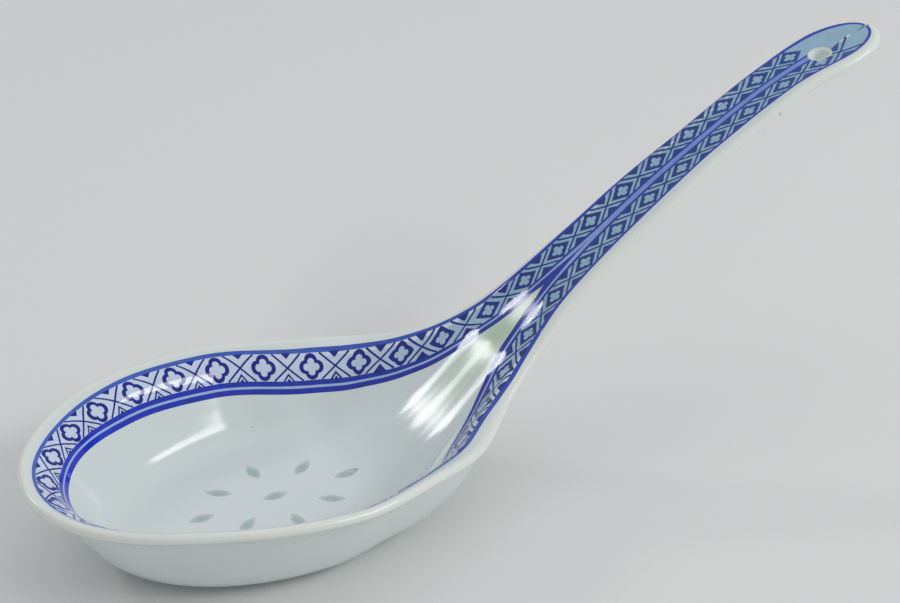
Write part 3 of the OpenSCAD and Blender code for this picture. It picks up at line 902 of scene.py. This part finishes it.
class SPOON_OT_lattice(bpy.types.Operator):
    """Print the lattice of flowers, crossed bars and small triangles"""
    bl_idname = "spoon.lattice"
    bl_label = "Lattice pattern"

    def execute(self, context):
        sheet = the_sheet()
        band = Band(sheet)
        flowers = flower_places()
        crossings = crossing_places()
        height = context.scene.spoon_border.print_height
        drawings = [
            (flower_drawing, flowers[1:-1], 1.2),
            (lambda heavy: bar_drawing(heavy, 1), crossings, 1.3),
            (lambda heavy: bar_drawing(heavy, -1), crossings, 1.4),
            (triangle_drawing, crossings, 1.25),
            (chevron_drawing, crossings, 1.25),
            (core_drawing, crossings, 1.15),
        ]
        copies = []
        for drawing, at, lift in drawings:
            copies += self.print_all(band, drawing, at, lift * height)
        pattern = join(copies)
        thicken(pattern)
        clear_of_hole(pattern, 0.8 * MM)
        round_off(pattern)
        hand_over(pattern, "lattice_pattern", "cobalt_print", pattern_cobalt(), "lattice_band")
        self.lay_ground(sheet, height)
        return {"FINISHED"}

    def print_all(self, band, drawing, at, lift):
        """Models one drawing flat, then lays a copy of it at each place on the band."""
        light = drawing(0.0) * MM
        dark = drawing(1.0) * MM
        model, column, row = plain_grid(*light.shape[:2])
        light = light[column, row]
        dark = dark[column, row]
        set_places(model.data, np.column_stack([light, np.zeros(len(light))]))
        copies = []
        for place in at:
            copy = model.copy()
            copy.data = model.data.copy()
            bpy.context.collection.objects.link(copy)
            x = np.interp(abs(place), band.run, band.x)
            heavy = smooth((x - 24 * MM) / (38 * MM))
            flat = (1 - heavy) * light + heavy * dark
            set_places(copy.data, band.wrap(place + flat[:, 0], flat[:, 1], lift))
            copies.append(copy)
        bpy.data.objects.remove(model)
        return copies

    def lay_ground(self, sheet, height):
        x = sheet.stations(90, 260, 40)
        edges = sheet.border_edges(x)
        total = sheet.lengths(x)[1][:, -1]
        past = smooth((x - HOLE["pos_m"][0]) / (3 * MM))
        high = edges[:, 2] + (total - edges[:, 2]) * past
        ground = strip(sheet, x, edges[:, 1], high, height * 0.6, rows=7)
        thicken(ground)
        clear_of_hole(ground, 0.8 * MM)
        round_off(ground)
        hand_over(ground, "lattice_ground", "cobalt_print", ground_wash(), "lattice_band")


class SPOON_OT_drip(bpy.types.Operator):
    """Hang the small bead of glaze under the near edge of the handle"""
    bl_idname = "spoon.drip"
    bl_label = "Glaze bead"

    def execute(self, context):
        sheet = the_sheet()
        x = np.array([DRIP_AT * MM])
        lip = sheet.point(x, 0.0)[0] * np.array([1, -1, 1])
        out = np.array([0.0, -1.0, -0.55])
        out /= np.linalg.norm(out)
        centre = lip + (sheet.shape.lip_radius - 0.1 * MM) * out
        deselect()
        bpy.ops.mesh.primitive_uv_sphere_add(segments=24, ring_count=14, radius=0.62 * MM)
        bead = bpy.context.active_object
        points = places(bead.data)
        neck = np.clip(-(points @ out) / (0.62 * MM), 0, 1)[:, None]
        points = points - out * neck ** 2 * 0.35 * MM
        set_places(bead.data, points + centre)
        weld(bead)
        bead.data.attributes.new("thin_glaze", "FLOAT", "POINT")
        bead.data.attributes.new("pooled_glaze", "FLOAT", "POINT")
        round_off(bead, 60)
        hand_over(bead, "glaze_bead", "glazed_porcelain", glazed_porcelain())
        return {"FINISHED"}


DRIP_AT = 127.3


def add(tree, kind, settings=None, links=None):
    """Adds one node. Settings are its own fields or its sockets' values; links feed its sockets."""
    node = tree.nodes.new(kind)
    for key, value in (settings or {}).items():
        if isinstance(key, str) and hasattr(node, key):
            setattr(node, key, value)
        else:
            node.inputs[key].default_value = value
    for key, source in (links or {}).items():
        tree.links.new(source, node.inputs[key])
    return node


def begin(name):
    """An empty material with its shader, or the finished one if it is there already."""
    material = bpy.data.materials.get(name)
    if material:
        return material, None, None
    material = bpy.data.materials.new(name)
    material.use_nodes = True
    tree = material.node_tree
    tree.nodes.clear()
    shader = add(tree, "ShaderNodeBsdfPrincipled")
    add(tree, "ShaderNodeOutputMaterial", links={"Surface": shader.outputs["BSDF"]})
    return material, tree, shader


def whole(values):
    return (*values, 1)


def ramp(tree, source, stops, interpolation="LINEAR"):
    """Colours along a value: stops are (place, colour)."""
    node = add(tree, "ShaderNodeValToRGB", links={"Fac": source})
    node.color_ramp.interpolation = interpolation
    elements = node.color_ramp.elements
    while len(elements) < len(stops):
        elements.new(0.5)
    for element, (place, value) in zip(elements, stops):
        element.position = place
        element.color = whole(value)
    return node.outputs["Color"]


def mixed(tree, share, low, high):
    """Colour that goes from low to high with share. Each is a colour or a socket."""
    node = add(tree, "ShaderNodeMix", {"data_type": "RGBA"})
    for socket, value in ((node.inputs[0], share), (node.inputs[6], low), (node.inputs[7], high)):
        if isinstance(value, bpy.types.NodeSocket):
            tree.links.new(value, socket)
        else:
            socket.default_value = value if isinstance(value, float) else whole(value)
    return node.outputs[2]


def glazed_porcelain():
    """Porcelain cast in a mould, under a clear glaze fired to a high gloss.

    It looks cool white with a breath of green. The glaze is greener where it has pooled in the
    throat and creamier where it has run thin over the lip, with a pinhole here and there. Under
    the foot the bare clay is matt.
    """
    material, tree, shader = begin("glazed porcelain")
    if not tree:
        return material
    finish = bpy.context.scene.spoon_finish
    place = add(tree, "ShaderNodeTexCoord").outputs["Object"]
    axes = add(tree, "ShaderNodeSeparateXYZ", links={"Vector": place})
    cloud = add(tree, "ShaderNodeTexNoise", {"Scale": 1 / (22 * MM), "Detail": 2.0},
                {"Vector": place})
    tint = mixed(tree, cloud.outputs["Fac"], finish.porcelain, finish.porcelain_shade)
    pooled = add(tree, "ShaderNodeAttribute", {"attribute_name": "pooled_glaze"})
    tint = mixed(tree, pooled.outputs["Fac"], tint, finish.pooled_glaze)
    thin = add(tree, "ShaderNodeAttribute", {"attribute_name": "thin_glaze"})
    tint = mixed(tree, thin.outputs["Fac"], tint, finish.thin_glaze)
    cells = add(tree, "ShaderNodeTexVoronoi", {"Scale": 1 / (17 * MM)}, {"Vector": place})
    hole = add(tree, "ShaderNodeMapRange", {"From Min": 0.02, "From Max": 0.012},
               {"Value": cells.outputs["Distance"]})
    tint = mixed(tree, hole.outputs["Result"], tint, finish.pinhole)
    bare = add(tree, "ShaderNodeMapRange", {"From Min": 0.16 * MM, "From Max": 0.06 * MM},
               {"Value": axes.outputs["Z"]})
    tint = mixed(tree, bare.outputs["Result"], tint, finish.bare_clay)
    tree.links.new(tint, shader.inputs["Base Color"])
    dull = add(tree, "ShaderNodeMapRange", {"To Min": 0.13, "To Max": 0.6},
               {"Value": bare.outputs["Result"]})
    tree.links.new(dull.outputs["Result"], shader.inputs["Roughness"])
    ripple = add(tree, "ShaderNodeTexNoise", {"Scale": 1 / (14 * MM), "Detail": 0.0},
                 {"Vector": place})
    bump = add(tree, "ShaderNodeBump", {"Strength": 0.2, "Distance": 0.02 * MM},
               {"Height": ripple.outputs["Fac"]})
    tree.links.new(bump.outputs["Normal"], shader.inputs["Normal"])
    shader.inputs["IOR"].default_value = 1.5
    return material


def window_glaze():
    """Clear glaze that fills the pierced openings in many thin coats.

    Light comes through it. Its milky grey-green, darker than the clay round it, is painted shade in its
    colour for the dark space seen through the glaze, and that painted shade pales towards its rim.
    """
    material, tree, shader = begin("window glaze")
    if not tree:
        return material
    finish = bpy.context.scene.spoon_finish
    place = add(tree, "ShaderNodeTexCoord").outputs["Object"]
    cloud = add(tree, "ShaderNodeTexNoise", {"Scale": 1 / (1.6 * MM), "Detail": 3.0},
                {"Vector": place})
    # Painted shade: the window colours are darker than the clay for the dark space seen through the
    # glaze, fading to the paler rim colour by glaze_depth
    deep = mixed(tree, cloud.outputs["Fac"], finish.window, finish.window_shade)
    depth = add(tree, "ShaderNodeAttribute", {"attribute_name": "glaze_depth"})
    tint = mixed(tree, depth.outputs["Fac"], finish.window_rim, deep)
    tree.links.new(tint, shader.inputs["Base Color"])
    shader.inputs["Roughness"].default_value = 0.08
    shader.inputs["IOR"].default_value = 1.5
    shader.inputs["Transmission Weight"].default_value = 0.1
    return material


def printed(name, tones, streak):
    """Cobalt printed on the clay and fired under the gloss glaze.

    Its tone follows how thick the print was laid, from the front of the bowl to the handle: tones
    are (x in mm, colour). It is a little uneven everywhere, by streak.
    """
    material, tree, shader = begin(name)
    if not tree:
        return material
    place = add(tree, "ShaderNodeTexCoord").outputs["Object"]
    axes = add(tree, "ShaderNodeSeparateXYZ", links={"Vector": place})
    first = tones[0][0]
    last = tones[-1][0]
    way = add(tree, "ShaderNodeMapRange", {"From Min": first * MM, "From Max": last * MM},
              {"Value": axes.outputs["X"]})
    tone = ramp(tree, way.outputs["Result"],
                [((x - first) / (last - first), value) for x, value in tones])
    cloud = add(tree, "ShaderNodeTexNoise", {"Scale": 1 / (2.2 * MM), "Detail": 4.0},
                {"Vector": place})
    wash = add(tree, "ShaderNodeMapRange",
               {"From Min": 0.3, "From Max": 0.7, "To Min": 1 - streak, "To Max": 1 + streak},
               {"Value": cloud.outputs["Fac"]})
    uneven = add(tree, "ShaderNodeHueSaturation", links={"Color": tone, "Value": wash.outputs["Result"]})
    tree.links.new(uneven.outputs["Color"], shader.inputs["Base Color"])
    shader.inputs["Roughness"].default_value = 0.06
    shader.inputs["IOR"].default_value = 1.5
    return material


def edge_cobalt():
    finish = bpy.context.scene.spoon_finish
    return printed("printed cobalt edge", [(-56, finish.edge_front), (20, finish.edge_bowl),
                                           (70, finish.edge_handle), (162, finish.edge_handle)], 0.12)


def line_cobalt():
    finish = bpy.context.scene.spoon_finish
    return printed("printed cobalt line", [(-56, finish.line_front), (0, finish.line_bowl),
                                           (60, finish.line_handle), (162, finish.line_end)], 0.12)


def pattern_cobalt():
    finish = bpy.context.scene.spoon_finish
    return printed("printed cobalt pattern", [(-56, finish.pattern_bowl), (30, finish.pattern_bowl),
                                              (70, finish.pattern_handle),
                                              (162, finish.pattern_end)], 0.15)


def ground_wash():
    finish = bpy.context.scene.spoon_finish
    return printed("pale cobalt ground", [(-56, finish.ground_bowl), (25, finish.ground_bowl),
                                          (65, finish.ground_handle),
                                          (162, finish.ground_handle)], 0.06)


def stripe_wash():
    finish = bpy.context.scene.spoon_finish
    return printed("pale cobalt stripe", [(-56, finish.stripe_bowl), (60, finish.stripe_bowl),
                                          (95, finish.stripe_handle),
                                          (162, finish.stripe_handle)], 0.06)


class SpoonFinish(bpy.types.PropertyGroup):
    """Colours of the clay, the glaze and the print."""
    porcelain: colour("Porcelain", "Glazed clay", "E4EAE8")
    porcelain_shade: colour("Porcelain shade", "The same where the glaze is a little thicker", "DBE5E2")
    pooled_glaze: colour("Pooled glaze", "Glaze that has gathered in the throat", "BED2BC")
    thin_glaze: colour("Thin glaze", "Glaze that has run thin over the lip", "F4F3E6")
    pinhole: colour("Pinhole", "Specks in the glaze", "6E6A5E")
    bare_clay: colour("Bare clay", "Unglazed clay under the foot", "E4DDD0")
    # The three window colours are painted shade for the dark space seen through the windows' glaze,
    # paler at a window's rim
    window: colour("Window", "Glaze of a window", "C2D1CE")
    window_shade: colour("Window shade", "Darker streaks in a window", "B4C5C2")
    window_rim: colour("Window rim", "Glaze at a window's rim", "DBE5E2")
    edge_front: colour("Edge line, front", "Outermost line at the front", "4668C8")
    edge_bowl: colour("Edge line, bowl", "Outermost line along the bowl", "4060B8")
    edge_handle: colour("Edge line, handle", "Outermost line on the handle", "2A45B4")
    line_front: colour("Line, front", "Inner lines at the front", "1A34CC")
    line_bowl: colour("Line, bowl", "Inner lines along the bowl", "1E36B4")
    line_handle: colour("Line, handle", "Inner lines at the neck", "22389A")
    line_end: colour("Line, end", "Inner lines towards the handle's end", "3250A8")
    pattern_bowl: colour("Pattern, bowl", "Flowers and bars in the bowl", "15208C")
    pattern_handle: colour("Pattern, handle", "Flowers and bars on the neck", "1E3684")
    pattern_end: colour("Pattern, end", "Flowers and bars towards the handle's end", "2A4C98")
    ground_bowl: colour("Ground, bowl", "Pale wash under the pattern in the bowl", "D2DEF0")
    ground_handle: colour("Ground, handle", "Pale wash under the pattern on the handle", "96B8CE")
    stripe_bowl: colour("Stripe, bowl", "Pale gap between the two inner lines", "A8BEE8")
    stripe_handle: colour("Stripe, handle", "Pale stripe along the middle of the handle", "7C96DC")
    floor: colour("Floor", "Floor under the spoon", "E6E6E4")


def soft_box(name, azimuth, elevation, distance, width, height, power, seen=True):
    """A flat lamp that faces the spoon. Azimuth 0 is along +X, 90 along +Y."""
    aim = Vector((30 * MM, 0, 20 * MM))
    across = np.radians(azimuth)
    up = np.radians(elevation)
    way = Vector((np.cos(up) * np.cos(across), np.cos(up) * np.sin(across), np.sin(up)))
    deselect()
    bpy.ops.object.light_add(type="AREA", location=aim + way * distance)
    lamp = bpy.context.active_object
    lamp.name = name
    lamp.rotation_euler = way.to_track_quat("Z", "Y").to_euler()
    lamp.data.shape = "RECTANGLE"
    lamp.data.size = width
    lamp.data.size_y = height
    lamp.data.energy = power
    lamp.visible_glossy = seen
    return lamp


class SPOON_OT_stage(bpy.types.Operator):
    """Set up the floor, the lamps and the camera"""
    bl_idname = "spoon.stage"
    bl_label = "Stage"

    def execute(self, context):
        scene = context.scene
        deselect()
        bpy.ops.mesh.primitive_plane_add(size=8, location=(0, 0, 0))
        floor = context.active_object
        floor.name = "floor"
        material, tree, shader = begin("matt floor")
        shader.inputs["Base Color"].default_value = whole(scene.spoon_finish.floor)
        shader.inputs["Roughness"].default_value = 0.85
        floor.data.materials.append(material)

        world = bpy.data.worlds.new("studio")
        scene.world = world
        world.use_nodes = True
        world.node_tree.nodes["Background"].inputs["Color"].default_value = (0.93, 0.96, 1, 1)
        world.node_tree.nodes["Background"].inputs["Strength"].default_value = 0.5

        soft_box("key soft box", -46, 37, 1.3, 0.8, 0.24, 5.0)
        soft_box("back soft box", 117, 34, 1.3, 0.18, 0.17, 1.2)
        soft_box("overhead", 60, 80, 1.6, 1.6, 1.2, 3.0, seen=False)

        eye = Vector((-164.80, -344.07, 258.46)) * MM
        right = Vector((0.857789, -0.513868, 0.011723))
        up = Vector((0.234134, 0.410935, 0.881087))
        forward = Vector((0.45758, 0.75304, -0.47281))
        bpy.ops.object.camera_add(location=eye)
        camera = context.active_object
        camera.rotation_euler = Matrix((right, up, -forward)).transposed().to_euler()
        camera.data.sensor_width = 36
        camera.data.lens = 2069.0 / 900 * 36
        camera.data.clip_start = 0.01
        scene.camera = camera
        scene.view_settings.view_transform = "Standard"
        return {"FINISHED"}


class SPOON_PT_parts(bpy.types.Panel):
    """Lists the steps that make the spoon"""
    bl_idname = "SPOON_PT_parts"
    bl_label = "Porcelain spoon"
    bl_space_type = "VIEW_3D"
    bl_region_type = "UI"
    bl_category = "Spoon"

    def draw(self, context):
        layout = self.layout
        for operator in OPERATORS:
            layout.operator(operator.bl_idname)
        for group, field in GROUPS:
            box = layout.box()
            settings = getattr(context.scene, field)
            for name in group.__annotations__:
                box.prop(settings, name)


OPERATORS = [SPOON_OT_stage, SPOON_OT_body, SPOON_OT_windows, SPOON_OT_lines, SPOON_OT_lattice,
             SPOON_OT_drip]
GROUPS = [(SpoonShape, "spoon_shape"), (SpoonBorder, "spoon_border"),
          (SpoonWindows, "spoon_windows"), (SpoonFinish, "spoon_finish")]
CLASSES = [group for group, field in GROUPS] + OPERATORS + [SPOON_PT_parts]


def register():
    for cls in CLASSES:
        bpy.utils.register_class(cls)
    for group, field in GROUPS:
        setattr(bpy.types.Scene, field, PointerProperty(type=group))


def unregister():
    for group, field in GROUPS:
        delattr(bpy.types.Scene, field)
    for cls in reversed(CLASSES):
        bpy.utils.unregister_class(cls)


def main():
    register()
    bpy.ops.spoon.stage()
    bpy.ops.spoon.body()
    bpy.ops.spoon.windows()
    bpy.ops.spoon.lines()
    bpy.ops.spoon.lattice()
    bpy.ops.spoon.drip()
    deselect()


if __name__ == "__main__":
    main()
